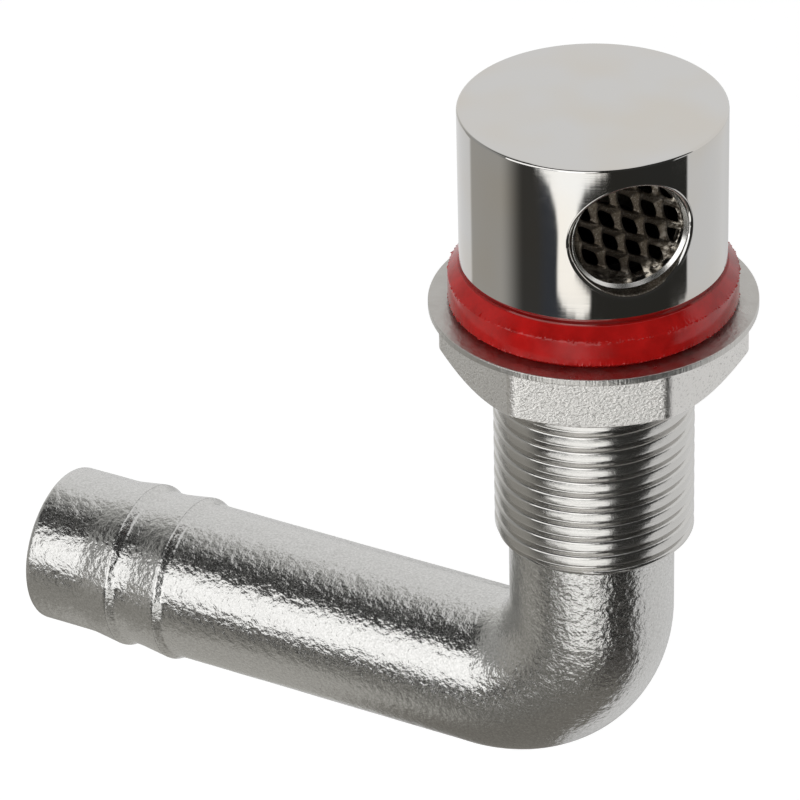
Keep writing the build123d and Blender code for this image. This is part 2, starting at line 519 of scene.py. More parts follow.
def patch_border(heights):
    """Angles and heights round the patch's border, starting half way up its right side."""
    middle = patch_rows // 2
    left, right = patch_angles[0], patch_angles[-1]
    lowest, highest = heights[0], heights[-1]
    border = [(right, height) for height in heights[middle:-1]]
    border += [(angle, highest) for angle in patch_angles[:0:-1]]
    border += [(left, height) for height in heights[:0:-1]]
    border += [(angle, lowest) for angle in patch_angles[:-1]]
    border += [(right, height) for height in heights[:middle]]
    return np.array(border)


outer_border = patch_border(outer_heights)
hole_angles = np.arctan2(outer_border[:, 1] - vent_z, outer_border[:, 0] * head_radius)
print("the mouth has", len(hole_angles), "points")

# %% [markdown]
# Each ring below comes with the true direction of its surface, worked out from the same formula as its points. These
# directions are given to the mesh as custom normals, so the polish looks even across the patch. Where no direction
# is given, Blender works it out from the faces.

# %% Rings through the hole
PATCH_RINGS = 8
MOUTH_STEPS = 6
FOOT_STEPS = 4


def patch_rings(radius, edge_angle, edge_height, border):
    """Rings on a round wall, from the hole's edge out to the border of the patch."""
    share = np.linspace(0, 1, PATCH_RINGS + 1)[:, None] ** 1.3
    angle = edge_angle + (border[:, 0] - edge_angle) * share
    height = edge_height + (border[:, 1] - edge_height) * share
    points = wall_points(radius, angle, height)
    directions = wall_points(1, angle, np.full_like(height, vent_z)) - np.array((0, 0, vent_z))
    return points, directions


def mouth_rings():
    """Rings of the rolled edge, from the wall of the hole out to the head's round wall."""
    reach = vent_radius + mouth_rounding
    across = reach * np.cos(hole_angles)
    up = reach * np.sin(hole_angles)
    depth = np.sqrt((head_radius - mouth_rounding) ** 2 - across**2)
    centre = beside_vent(across, up, depth)
    origin = np.array((0, 0, vent_z))
    to_hole = origin - beside_vent(np.cos(hole_angles), np.sin(hole_angles), 0)
    to_wall = beside_vent(across, 0 * up, depth) - origin
    to_hole /= np.linalg.norm(to_hole, axis=1)[:, None]
    to_wall /= np.linalg.norm(to_wall, axis=1)[:, None]
    turn = np.arccos(np.clip((to_hole * to_wall).sum(axis=1), -1, 1))[:, None]
    share = np.linspace(0, 1, MOUTH_STEPS + 1)[:, None, None]
    directions = (np.sin((1 - share) * turn) * to_hole + np.sin(share * turn) * to_wall) / np.sin(turn)
    return centre + mouth_rounding * directions, directions


def hole_ring(radius, depth):
    """Ring of the hole at a radius and a depth, or at a list of depths."""
    depths = np.broadcast_to(depth, hole_angles.shape)
    return beside_vent(radius * np.cos(hole_angles), radius * np.sin(hole_angles), depths)


# %% Skin of the head
def make_vent_head():
    """Closed skin of the polished head, with known directions where it is polished."""
    mouth, mouth_directions = mouth_rings()
    edge = mouth[-1] - np.array((0, 0, vent_z))
    edge_angle = np.arctan2(edge @ vent_across, edge @ vent_outwards)
    outer_patch, outer_directions = patch_rings(head_radius, edge_angle, mouth[-1][:, 2], outer_border)

    mouth_depth = (mouth[0] - np.array((0, 0, vent_z))) @ vent_outwards
    shares = np.linspace(0, 1, 7)[1:]
    bore_wall = np.array([hole_ring(vent_radius, mouth_depth + (screen_back - mouth_depth) * s) for s in shares])
    bore_directions = np.repeat(mouth_directions[:1], len(shares), axis=0)
    bore_directions[-1] = 0
    chamber_edge = ledge_radius * np.cos(hole_angles)
    chamber_depth = np.sqrt(chamber_radius**2 - chamber_edge**2)
    ledge = np.array([hole_ring(ledge_radius, screen_back), hole_ring(ledge_radius, chamber_depth)])
    inner_border = patch_border(inner_heights)
    edge_angle = np.arctan2(chamber_edge, chamber_depth)
    edge_height = vent_z + ledge_radius * np.sin(hole_angles)
    inner_patch, unused_directions = patch_rings(chamber_radius, edge_angle, edge_height, inner_border)

    hole = np.concatenate([outer_patch[::-1], mouth[-2::-1], bore_wall, ledge, inner_patch[1:]])
    hole_directions = np.concatenate([
        outer_directions[::-1],
        mouth_directions[-2::-1],
        bore_directions,
        np.zeros_like(ledge),
        np.zeros_like(inner_patch[1:]),
    ])

    angle, height = np.meshgrid(rest_angles, outer_heights)
    outer_rest = wall_points(head_radius, angle, height)
    outer_rest_directions = wall_points(1, angle, np.full_like(height, vent_z)) - np.array((0, 0, vent_z))
    angle, height = np.meshgrid(rest_angles, inner_heights)
    inner_rest = wall_points(chamber_radius, angle, height)

    roof, roof_directions = roof_rings()
    inner_roof = [(chamber_radius, inner_heights[-1]), (chamber_radius, chamber_top), (0, chamber_top)]
    inner_roof = np.array([wall_points(radius, wall_angles, np.full_like(wall_angles, z)) for radius, z in inner_roof])
    foot, foot_directions = foot_rings()

    known = [(hole, hole_directions), (outer_rest, outer_rest_directions)]
    known += [(roof, roof_directions), (foot, foot_directions)]
    bands = [band(hole), band(outer_rest, wrap=False), band(inner_rest, wrap=False)]
    bands += [band(roof), band(inner_roof), band(foot)]
    piece = make_piece("polished_head", bands)
    set_known_directions(piece, known)
    mark_second_finish(piece, is_bored)
    return piece


def is_bored(middle):
    """Whether a place lies in the chamber, on the wall of the hole or on the inner half of its rolled edge."""
    if math.hypot(middle[0], middle[1]) < chamber_radius + 0.1 and middle[2] < chamber_top + 0.1:
        return True
    offset = middle - np.array((0, 0, vent_z))
    from_axis = math.hypot(offset @ vent_across, offset[2])
    return offset @ vent_outwards > screen_back - 0.1 and from_axis < vent_radius + mouth_rounding / 4


def roof_rings():
    """Rings from the top of the wall over the rounded edge to the middle of the roof."""
    rings = []
    directions = []
    centre_radius = head_radius - top_edge_rounding
    centre_height = head_top - top_edge_rounding
    for step in range(ARC_STEPS * 2 + 1):
        lift = math.pi / 2 * step / (ARC_STEPS * 2)
        radius = centre_radius + top_edge_rounding * math.cos(lift)
        height = centre_height + top_edge_rounding * math.sin(lift)
        rings.append(wall_points(radius, wall_angles, np.full_like(wall_angles, height)))
        level = wall_points(1, wall_angles, np.full_like(wall_angles, vent_z)) - np.array((0, 0, vent_z))
        directions.append(math.cos(lift) * level + math.sin(lift) * upwards)
    for share in (0.97, 0.8, 0.6, 0.4, 0.2, 0.0):
        rings.append(wall_points(centre_radius * share, wall_angles, np.full_like(wall_angles, head_top)))
        directions.append(np.broadcast_to(upwards, (len(wall_angles), 3)))
    return np.array(rings), np.array(directions)


def foot_rings():
    """Rings down the foot of the outer wall, which leans in a little, then under the head and into the chamber."""
    rings = []
    directions = []
    level = wall_points(1, wall_angles, np.full_like(wall_angles, vent_z)) - np.array((0, 0, vent_z))
    for lean in np.linspace(0, foot_lean, FOOT_STEPS + 1):
        radius = head_radius - foot_rounding * (1 - math.cos(lean))
        height = head_foot + foot_height - foot_rounding * math.sin(lean)
        rings.append(wall_points(radius, wall_angles, np.full_like(wall_angles, height)))
        directions.append(math.cos(lean) * level - math.sin(lean) * upwards)
    radius -= (height - head_foot) * math.tan(foot_lean)
    rings.append(wall_points(radius, wall_angles, np.full_like(wall_angles, head_foot)))
    directions.append(directions[-1])
    for radius, height in ((chamber_radius, head_foot), (chamber_radius, inner_heights[0])):
        rings.append(wall_points(radius, wall_angles, np.full_like(wall_angles, height)))
        directions.append(np.zeros_like(level))
    return np.array(rings), np.array(directions)


def set_known_directions(piece, known):
    """Gives each corner of the mesh the true direction of its surface, where one is known."""
    points = np.concatenate([rings.reshape(-1, 3) for rings, directions in known]) * MM
    directions = np.concatenate([directions.reshape(-1, 3) for rings, directions in known])
    tree = KDTree(len(points))
    for index, point in enumerate(points):
        tree.insert(point, index)
    tree.balance()
    mesh = piece.data
    by_point = []
    for vertex in mesh.vertices:
        spot, index, distance = tree.find(vertex.co)
        by_point.append(directions[index] if distance < 10 * MERGE_DISTANCE else np.zeros(3))
    corners = [by_point[loop.vertex_index] for loop in mesh.loops]
    mesh.normals_split_custom_set([tuple(direction) for direction in corners])


head = make_vent_head()
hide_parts("vent_head")
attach(head, "vent")

# %% [markdown]
# ## The screen ring
#
# A thin ring is pressed into the hole and holds the screen on its ledge. Its rim is rounded and shines brighter than
# anything else on the fitting. It is turned about the hole's axis and then laid into the hole.

# %% Screen ring
ring_outer = vent_radius - 0.02
ring_inner = vent_radius - 0.4
rim_rounding = 0.05
lip_depth = 0.4
lip_rounding = 0.15


def laid_in_vent(rings):
    """Rings turned about Z, laid into the hole so that their Z becomes the way out of the hole."""
    return beside_vent(rings[..., 0], rings[..., 1], rings[..., 2])


def make_screen_ring():
    """Thin ring whose front opens in a lip."""
    back = ring_front - ring_length
    corners = [
        (ring_inner, ring_front - lip_depth, lip_rounding),
        (ring_outer - 0.04, ring_front, rim_rounding),
        (ring_outer, ring_front - 0.06, 0.02),
        (ring_outer, back, 0.03),
        (ring_inner, back, 0.03),
    ]
    rings = turned_rings(rounded_outline(corners), circle_angles(160))
    return make_piece("pressed_ring", [band(laid_in_vent(closed_rings(rings)))])


screen_ring = make_screen_ring()
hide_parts("screen_ring")
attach(screen_ring, "vent")

# %% [markdown]
# ## The washer and the gasket
#
# Both are sections turned about the shank. The gasket is moulded rubber, so its edges are softer, and a little flash
# stands along the line where the two halves of its mould met.

# %% Washer
washer_bore = thread_radius + 0.3
washer_edge = 0.1


def make_flat_washer():
    """Thin washer with the edges that punching leaves."""
    corners = [
        (washer_bore, 0, washer_edge),
        (washer_radius, 0, washer_edge),
        (washer_radius, washer_foot, washer_edge),
        (washer_bore, washer_foot, washer_edge),
    ]
    rings = turned_rings(rounded_outline(corners), circle_angles(256))
    piece = make_piece("punched_washer", [band(closed_rings(rings))])
    mark_second_finish(piece, lambda middle: math.hypot(middle[0], middle[1]) > washer_radius - washer_edge / 2)
    return piece


washer = make_flat_washer()
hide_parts("flat_washer")
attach(washer, "washer")

# %% Gasket
gasket_bore = thread_radius + 0.3
gasket_shoulder = 3.2
gasket_inset = 1.1
gasket_bevel = 0.5
gasket_waver = 0.12
waver_length = 4.0
flash_reach = 0.16
flash_height = 0.35
flash_threshold = 0.14
flash_grain = 0.17


def with_flash(rings, line_heights):
    """Rings of the gasket with specks of flash standing out along the lines where the mould met."""
    shape = rings.shape
    points = rings.reshape(-1, 3).copy()
    radius = np.linalg.norm(points[:, :2], axis=1)
    upper = np.clip((points[:, 2] - gasket_bevel) / (gasket_shoulder - gasket_bevel), 0, 1)
    upper *= np.clip((head_foot - points[:, 2]) / (head_foot - gasket_shoulder), 0, 1)
    waver = np.array([noise.noise(Vector((*point[:2], 0)) / waver_length) for point in points])
    points[:, 2] += gasket_waver * waver * upper
    for index, point in enumerate(points):
        nearest = min(abs(point[2] - height) for height in line_heights)
        if nearest > flash_reach or radius[index] < gasket_radius - gasket_bevel:
            continue
        speck = noise.noise(Vector(point) / flash_grain) - flash_threshold
        if speck > 0:
            points[index, :2] *= 1 + flash_height * speck * (1 - nearest / flash_reach) / radius[index]
    return points.reshape(shape)


def make_gasket():
    """Red seal with a sloping shoulder and a bevelled foot."""
    corners = [
        (gasket_bore, 0, 0.1),
        (gasket_radius - gasket_bevel, 0, 0.15),
        (gasket_radius, gasket_bevel, 0.15),
        (gasket_radius, gasket_shoulder, 0.3),
        (gasket_radius - gasket_inset, head_foot, 0.15),
        (gasket_bore, head_foot, 0.1),
    ]
    outline = filled_outline(rounded_outline(corners), 0.3)
    rings = turned_rings(outline, circle_angles(1100))
    rings = with_flash(rings, (gasket_bevel, gasket_shoulder))
    return make_piece("red_gasket", [band(closed_rings(rings))])


gasket = make_gasket()
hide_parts("gasket")
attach(gasket, "vent")

# %% [markdown]
# ## The nut
#
# The nut is a cast hexagon. Its section changes with the angle: on the flats it is narrow, at the corners wide, and
# the cone of the chamfer below bites deeper at the corners. So each column of the mesh gets its own outline, from
# the angle to the nearest flat, and the columns stand closer where a corner turns.

# %% Hexagon
flat_distance = 14.0
corner_rounding = 1.3
nut_turn = math.radians(-4.2)
chamfer_slope = math.tan(math.radians(30))
edge_rounding = 0.14
bore_countersink = 0.8
nut_thread_gap = 0.04


def hexagon_radius(angle):
    """Radius of the rounded hexagon at an angle from the middle of a flat."""
    nearest = (angle + math.pi / 6) % (math.pi / 3) - math.pi / 6
    inner = flat_distance - corner_rounding
    on_flat = flat_distance / math.cos(nearest)
    if abs(nearest) < math.atan2(inner * math.tan(math.pi / 6), flat_distance):
        return on_flat
    arc_centre = inner / math.cos(math.pi / 6)
    off_corner = math.pi / 6 - abs(nearest)
    across = arc_centre * math.sin(off_corner)
    return arc_centre * math.cos(off_corner) + math.sqrt(corner_rounding**2 - across**2)


def hexagon_angles():
    """Angles round the nut, close together at the corners."""
    flat_part = np.linspace(-27.4, 27.4, 23)
    corner_part = np.linspace(27.4, 32.6, 13)[1:-1]
    one_side = np.radians(np.concatenate([flat_part, corner_part]))
    return np.concatenate([one_side + side * math.pi / 3 for side in range(6)])


# %% Nut
def nut_surface(angle, height):
    """Radius of the nut's own thread, a little wider than the shank's."""
    return thread_surface(angle, height, thread_radius) + nut_thread_gap


def make_hex_nut():
    """Cast nut with rounded corners, a conical chamfer below and a thread inside."""
    flats = hexagon_angles()
    angles = flats + nut_turn
    bore_top = nut_top - 0.3
    bore_foot = nut_foot + bore_countersink
    wide_bore = thread_radius + 0.35
    outlines = []
    for angle in flats:
        radius = hexagon_radius(angle)
        chamfer_foot = nut_foot + (radius - flat_distance) * chamfer_slope
        corners = [
            (wide_bore, nut_foot, 0),
            (flat_distance - 0.3, nut_foot, 0.1),
            (radius, chamfer_foot + 0.3 * chamfer_slope, edge_rounding),
            (radius, nut_top, edge_rounding),
            (wide_bore, nut_top, 0),
        ]
        outlines.append(rounded_outline(corners, closed=False))
    outlines = np.array(outlines)
    radius = outlines[:, :, 0].T
    height = outlines[:, :, 1].T
    outside_rings = np.stack([radius * np.cos(angles), radius * np.sin(angles), height], axis=-1)
    foot_ring = threaded_ring(angles, bore_foot, nut_surface)[None]
    top_ring = threaded_ring(angles, bore_top, nut_surface)[None]
    chain = np.concatenate([foot_ring, outside_rings, top_ring])
    thread = thread_band(angles, bore_foot, bore_top, nut_surface)
    return make_piece("cast_nut", [band(chain), thread])


nut = make_hex_nut()
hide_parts("hex_nut")
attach(nut, "nut")

# %% [markdown]
# ## The flame screen
#
# The screen is expanded metal: a sheet that is slit in staggered rows and pulled open, so that each slit becomes a
# diamond and each strand leans. Geometry Nodes build it by that rule. A strand is one leaning bar. Two bars make a
# pair that forks from a point, and the pair is repeated on two staggered grids. A disc cuts the sheet to size. A
# pass through a volume then melts the bars into one skin with rounded edges, and last the skin is domed.

# %% Flame screen nodes
mesh_long_way = 4.65
mesh_short_way = 2.54
strand_width = 0.89
mesh_turn = math.radians(-52.7)
mesh_offset = (0.21, 0.57)
dome_rise = 0.45
screen_radius = vent_radius - 0.05
rim_width = 0.45


class NodeTree:
    """A geometry node group that is wired one node at a time."""

    def __init__(self, name):
        self.tree = bpy.data.node_groups.new(name, "GeometryNodeTree")
        self.inputs = self.tree.nodes.new("NodeGroupInput")
        self.outputs = self.tree.nodes.new("NodeGroupOutput")
        self.tree.interface.new_socket("Geometry", in_out="OUTPUT", socket_type="NodeSocketGeometry")

    def size(self, name, value, kind="NodeSocketFloat"):
        """A named input of the group, and the socket that reads it."""
        socket = self.tree.interface.new_socket(name, in_out="INPUT", socket_type=kind)
        if value is not None:
            socket.default_value = value
        return self.inputs.outputs[name]

    def add(self, kind, settings=(), **sockets):
        """A node with its sockets set to a value or wired to another node's output."""
        node = self.tree.nodes.new(kind)
        for key, value in dict(settings).items():
            setattr(node, key, value)
        for key, value in sockets.items():
            self.feed(node, key.replace("_", " "), value)
        return node

    def feed(self, node, key, value):
        """Sets or wires one input, found by its name or its number."""
        socket = node.inputs[int(key)] if key.isdigit() else node.inputs[key]
        if isinstance(value, bpy.types.NodeSocket):
            self.tree.links.new(value, socket)
        else:
            socket.default_value = value

    def math(self, operation, first, second=0.0):
        """The result of a Math node."""
        node = self.add("ShaderNodeMath", {"operation": operation})
        self.feed(node, "0", first)
        self.feed(node, "1", second)
        return node.outputs[0]

    def join(self, *geometries):
        """Several geometries as one."""
        node = self.add("GeometryNodeJoinGeometry")
        for geometry in geometries:
            self.tree.links.new(geometry, node.inputs[0])
        return node.outputs[0]


print("the screen is", round(2 * screen_radius, 2), "mm across")

# %% One bar, one fork, the whole sheet
strand_lean = math.radians(28)
bar_thickness = 0.5
end_widening = 0.75
voxel = 0.075


def end_flare(group, sizes, run):
    """Offset that widens a bar towards its two ends, where it runs into the next strand."""
    place = group.add("GeometryNodeInputPosition")
    apart = group.add("ShaderNodeSeparateXYZ", Vector=place.outputs[0])
    share = group.math("DIVIDE", group.math("MULTIPLY", apart.outputs["X"], 2.0), run)
    flare = group.math("MULTIPLY", group.math("POWER", group.math("ABSOLUTE", share), 2), sizes["End flare"])
    offset = group.add("ShaderNodeCombineXYZ", Y=group.math("MULTIPLY", apart.outputs["Y"], flare))
    return offset.outputs[0]


def bar_geometry(group, sizes, side):
    """One leaning bar from a junction to the next one, on the side given by 1 or -1."""
    half_long = group.math("MULTIPLY", sizes["Long way"], 0.5)
    half_short = group.math("MULTIPLY", sizes["Short way"], 0.5 * side)
    run = group.math("SQRT", group.math("ADD", group.math("POWER", half_long, 2), group.math("POWER", half_short, 2)))
    size = group.add("ShaderNodeCombineXYZ", X=run, Y=sizes["Strand width"], Z=sizes["Strand thickness"])
    bar = group.add("GeometryNodeMeshCube", Size=size.outputs[0], Vertices_X=7)
    bar = group.add("GeometryNodeSetPosition", Geometry=bar.outputs[0], Offset=end_flare(group, sizes, run))
    lean = group.add("ShaderNodeCombineXYZ", X=sizes["Lean"])
    leaning = group.add("GeometryNodeTransform", Geometry=bar.outputs[0], Rotation=lean.outputs[0])
    turn = group.add("ShaderNodeCombineXYZ", Z=group.math("ARCTAN2", half_short, half_long))
    middle = group.add(
        "ShaderNodeCombineXYZ",
        X=group.math("MULTIPLY", half_long, 0.5),
        Y=group.math("MULTIPLY", half_short, 0.5),
    )
    placed = group.add(
        "GeometryNodeTransform",
        Geometry=leaning.outputs[0],
        Translation=middle.outputs[0],
        Rotation=turn.outputs[0],
    )
    return placed.outputs[0]


def staggered_grid(group, sizes, long_share, short_share):
    """Points of one of the two staggered rows of junctions."""
    columns, rows = 7, 13
    grid = group.add(
        "GeometryNodeMeshGrid",
        Size_X=group.math("MULTIPLY", sizes["Long way"], columns - 1),
        Size_Y=group.math("MULTIPLY", sizes["Short way"], rows - 1),
        Vertices_X=columns,
        Vertices_Y=rows,
    )
    step = group.add(
        "ShaderNodeCombineXYZ",
        X=group.math("MULTIPLY", sizes["Long way"], long_share),
        Y=group.math("MULTIPLY", sizes["Short way"], short_share),
    )
    return group.add("GeometryNodeTransform", Geometry=grid.outputs["Mesh"], Translation=step.outputs[0]).outputs[0]


def stretched_sheet():
    """Geometry node group of a round piece of expanded metal with a rim."""
    group = NodeTree("stretched sheet")
    sizes = {
        "Long way": group.size("Long way", mesh_long_way),
        "Short way": group.size("Short way", mesh_short_way),
        "Strand width": group.size("Strand width", strand_width),
        "Strand thickness": group.size("Strand thickness", bar_thickness),
        "Lean": group.size("Lean", strand_lean),
        "End flare": group.size("End flare", end_widening),
    }
    turn = group.size("Turn", mesh_turn)
    across = group.size("Offset across", mesh_offset[0])
    up = group.size("Offset up", mesh_offset[1])
    radius = group.size("Disc radius", screen_radius)
    rim = group.size("Rim width", rim_width)
    rise = group.size("Dome rise", dome_rise)
    finish = group.size("Finish", None, "NodeSocketMaterial")

    fork = group.join(bar_geometry(group, sizes, 1), bar_geometry(group, sizes, -1))
    junctions = group.join(staggered_grid(group, sizes, 0.5, 0), staggered_grid(group, sizes, 0, 0.5))
    repeated = group.add("GeometryNodeInstanceOnPoints", Points=junctions, Instance=fork)
    strands = group.add("GeometryNodeRealizeInstances", Geometry=repeated.outputs[0])
    turn_vector = group.add("ShaderNodeCombineXYZ", Z=turn)
    offset = group.add("ShaderNodeCombineXYZ", X=across, Y=up)
    strands = group.add(
        "GeometryNodeTransform",
        Geometry=strands.outputs[0],
        Translation=offset.outputs[0],
        Rotation=turn_vector.outputs[0],
    )

    disc = group.add("GeometryNodeMeshCylinder", Vertices=128, Radius=radius, Depth=4.0)
    cut = group.add("GeometryNodeMeshBoolean", {"operation": "INTERSECT", "solver": "EXACT"}, Self_Intersection=True)
    group.tree.links.new(disc.outputs["Mesh"], cut.inputs["Mesh 2"])
    group.tree.links.new(strands.outputs[0], cut.inputs["Mesh 2"])

    rim_middle = group.math("SUBTRACT", radius, group.math("MULTIPLY", rim, 0.5))
    rim_line = group.add("GeometryNodeCurvePrimitiveCircle", Resolution=128, Radius=rim_middle)
    section = group.add("GeometryNodeCurvePrimitiveQuadrilateral", Width=rim, Height=screen_thickness)
    rim_ring = group.add("GeometryNodeCurveToMesh", Curve=rim_line.outputs[0], Profile_Curve=section.outputs[0])

    solid = group.add("GeometryNodeMeshToVolume", Mesh=group.join(cut.outputs["Mesh"], rim_ring.outputs[0]))
    solid.resolution_mode = "VOXEL_SIZE"
    group.feed(solid, "Voxel Size", voxel)
    group.feed(solid, "Interior Band Width", 2.5 * voxel)
    skin = group.add("GeometryNodeVolumeToMesh", Volume=solid.outputs[0])
    group.feed(skin, "Threshold", 0.15)

    place = group.add("GeometryNodeInputPosition")
    melted = group.add("GeometryNodeBlurAttribute", {"data_type": "FLOAT_VECTOR"}, Value=place.outputs[0], Iterations=8)
    skin = group.add("GeometryNodeSetPosition", Geometry=skin.outputs[0], Position=melted.outputs[0])
    apart = group.add("ShaderNodeSeparateXYZ", Vector=place.outputs[0])
    squared = group.math(
        "ADD",
        group.math("POWER", apart.outputs["X"], 2),
        group.math("POWER", apart.outputs["Y"], 2),
    )
    share = group.math("DIVIDE", squared, group.math("POWER", group.math("SUBTRACT", radius, rim), 2))
    lift = group.math("MULTIPLY", rise, group.math("MAXIMUM", group.math("SUBTRACT", 1.0, share), 0.0))
    lift_vector = group.add("ShaderNodeCombineXYZ", Z=lift)
    domed = group.add("GeometryNodeSetPosition", Geometry=skin.outputs[0], Offset=lift_vector.outputs[0])
    smooth = group.add("GeometryNodeSetShadeSmooth", Geometry=domed.outputs[0])
    realized = group.add("GeometryNodeRealizeInstances", Geometry=smooth.outputs[0])
    painted = group.add("GeometryNodeSetMaterial", Geometry=realized.outputs[0], Material=finish)
    group.tree.links.new(painted.outputs[0], group.outputs.inputs[0])
    return group.tree


def make_flame_screen(finish):
    """The screen as a plain mesh on the ledge of the hole."""
    tree = stretched_sheet()
    carrier = bpy.data.objects.new("sheet carrier", bpy.data.meshes.new("sheet carrier"))
    bpy.context.scene.collection.objects.link(carrier)
    modifier = carrier.modifiers.new("stretched sheet", "NODES")
    modifier.node_group = tree
    identifiers = {item.name: item.identifier for item in tree.interface.items_tree if item.in_out == "INPUT"}
    modifier[identifiers["Finish"]] = finish
    evaluated = carrier.evaluated_get(bpy.context.evaluated_depsgraph_get())
    mesh = bpy.data.meshes.new_from_object(evaluated)
    bpy.data.objects.remove(carrier)
    middle = beside_vent(0, 0, screen_back + screen_thickness / 2)
    turn = Matrix((vent_across, upwards, vent_outwards)).transposed().to_4x4()
    mesh.transform(Matrix.Translation(Vector(middle) * MM) @ turn @ Matrix.Scale(MM, 4))
    screen = bpy.data.objects.new("stretched_screen", mesh)
    mesh.name = "stretched_screen"
    bpy.context.scene.collection.objects.link(screen)
    print("stretched_screen", len(mesh.polygons), "faces")
    return screen


# %% [markdown]
# ## Finishes

# %% Wiring of a finish
class Finish:
    """A metal or rubber finish: one Principled shader, with textures on the object's own coordinates."""

    def __init__(self, name, colour, roughness, metallic=1.0):
        self.material = bpy.data.materials.new(name)
        self.material.use_nodes = True
        self.tree = self.material.node_tree
        self.shader = self.tree.nodes["Principled BSDF"]
        self.shader.inputs["Base Color"].default_value = (*colour, 1)
        self.shader.inputs["Roughness"].default_value = roughness
        self.shader.inputs["Metallic"].default_value = metallic
        self.place = self.add("ShaderNodeTexCoord").outputs["Object"]
        self.normal = None

    def add(self, kind, settings=(), **sockets):
        """A node with its sockets set to a value or wired to another node's output."""
        node = self.tree.nodes.new(kind)
        for key, value in dict(settings).items():
            setattr(node, key, value)
        for key, value in sockets.items():
            self.feed(node.inputs[key.replace("_", " ")], value)
        return node

    def feed(self, socket, value):
        """Sets or wires one input."""
        if isinstance(value, bpy.types.NodeSocket):
            self.tree.links.new(value, socket)
        else:
            socket.default_value = value

    def grain(self, size, detail=3.0, roughness=0.55, distortion=0.0):
        """Noise whose grains are as large as size, in millimetres along x, y and z."""
        sizes = size if isinstance(size, tuple) else (size, size, size)
        mapping = self.add("ShaderNodeMapping", Vector=self.place)
        mapping.inputs["Scale"].default_value = [1 / (value * MM) for value in sizes]
        texture = self.add("ShaderNodeTexNoise", Vector=mapping.outputs[0])
        texture.inputs["Scale"].default_value = 1.0
        texture.inputs["Detail"].default_value = detail
        texture.inputs["Roughness"].default_value = roughness
        texture.inputs["Distortion"].default_value = distortion
        return texture.outputs["Fac"]

    def spread(self, value, low, high, start=0.3, end=0.7):
        """A value brought from one range to another."""
        node = self.add("ShaderNodeMapRange", Value=value)
        node.inputs["From Min"].default_value = start
        node.inputs["From Max"].default_value = end
        node.inputs["To Min"].default_value = low
        node.inputs["To Max"].default_value = high
        return node.outputs[0]

    def from_axis(self, point, direction):
        """Distance from a line, given by a point in millimetres and a direction."""
        offset = self.add("ShaderNodeVectorMath", {"operation": "SUBTRACT"})
        self.feed(offset.inputs[0], self.place)
        offset.inputs[1].default_value = Vector(point) * MM
        across = self.add("ShaderNodeVectorMath", {"operation": "CROSS_PRODUCT"})
        self.feed(across.inputs[0], offset.outputs[0])
        across.inputs[1].default_value = direction
        length = self.add("ShaderNodeVectorMath", {"operation": "LENGTH"})
        self.feed(length.inputs[0], across.outputs[0])
        return length.outputs["Value"]

    def times(self, first, second):
        """The product of two values."""
        node = self.add("ShaderNodeMath", {"operation": "MULTIPLY"})
        self.feed(node.inputs[0], first)
        self.feed(node.inputs[1], second)
        return node.outputs[0]

    def relief(self, height, depth):
        """Adds a relief of a depth in millimetres to the surface."""
        node = self.add("ShaderNodeBump", Height=height)
        node.inputs["Distance"].default_value = depth * MM
        if self.normal is not None:
            self.tree.links.new(self.normal, node.inputs["Normal"])
        self.normal = node.outputs[0]
        self.tree.links.new(self.normal, self.shader.inputs["Normal"])

    def shade(self, value, dark, light):
        """Colour that runs from dark to light with a value."""
        node = self.add("ShaderNodeMix", {"data_type": "RGBA"})
        self.tree.links.new(value, node.inputs["Factor"])
        node.inputs[6].default_value = (*dark, 1)
        node.inputs[7].default_value = (*light, 1)
        self.tree.links.new(node.outputs[2], self.shader.inputs["Base Color"])


# %% Metals
def polished_steel():
    """Mirror polish with faint lines from the buffing wheel, which runs round the head, and a faint straw tint."""
    finish = Finish("polished steel", (0.62, 0.61, 0.59), 0.05)
    tint = finish.grain(9.0, detail=1)
    finish.shade(finish.spread(tint, 0, 1, 0.4, 0.65), (0.62, 0.61, 0.595), (0.62, 0.59, 0.545))
    lines = finish.grain((5, 5, 0.12), detail=2)
    finish.feed(finish.shader.inputs["Roughness"], finish.spread(lines, 0.03, 0.055))
    finish.relief(lines, 0.0001)
    return finish.material


def bored_steel():
    """Dark, rough wall of the vent hole, where the polish doesn't reach."""
    finish = Finish("bored steel", (0.30, 0.27, 0.23), 0.38)
    specks = finish.grain(0.2, detail=3)
    finish.shade(finish.spread(specks, 0, 1, 0.5, 0.72), (0.16, 0.14, 0.115), (0.5, 0.47, 0.42))
    finish.relief(specks, 0.05)
    return finish.material


def cast_steel():
    """Skin of an investment casting, wrinkled like fine foil."""
    finish = Finish("cast steel", (0.60, 0.595, 0.58), 0.24)
    finish.relief(finish.grain(1.3, detail=1), 0.08)
    finish.relief(finish.grain(0.6, detail=2), 0.09)
    fine = finish.grain(0.24, detail=2)
    finish.shade(finish.spread(fine, 0, 1), (0.52, 0.515, 0.50), (0.68, 0.675, 0.66))
    finish.relief(fine, 0.02)
    finish.feed(finish.shader.inputs["Roughness"], finish.spread(fine, 0.15, 0.26))
    return finish.material


def turned_steel():
    """Bright turned steel of the thread, with marks that run round it."""
    finish = Finish("turned steel", (0.62, 0.61, 0.59), 0.2)
    marks = finish.grain((3, 3, 0.15), detail=2)
    finish.feed(finish.shader.inputs["Roughness"], finish.spread(marks, 0.13, 0.26))
    finish.relief(marks, 0.0025)
    finish.relief(finish.grain(0.5, detail=2), 0.012)
    return finish.material


def nut_steel():
    """Blasted casting with a dense, sparkling grain."""
    finish = Finish("blasted steel", (0.65, 0.635, 0.615), 0.3)
    pits = finish.grain((0.36, 0.36, 0.2), detail=3)
    finish.shade(finish.spread(pits, 0, 1, 0.3, 0.42), (0.44, 0.425, 0.405), (0.76, 0.745, 0.72))
    finish.relief(pits, 0.09)
    finish.relief(finish.grain(0.14, detail=2), 0.025)
    return finish.material


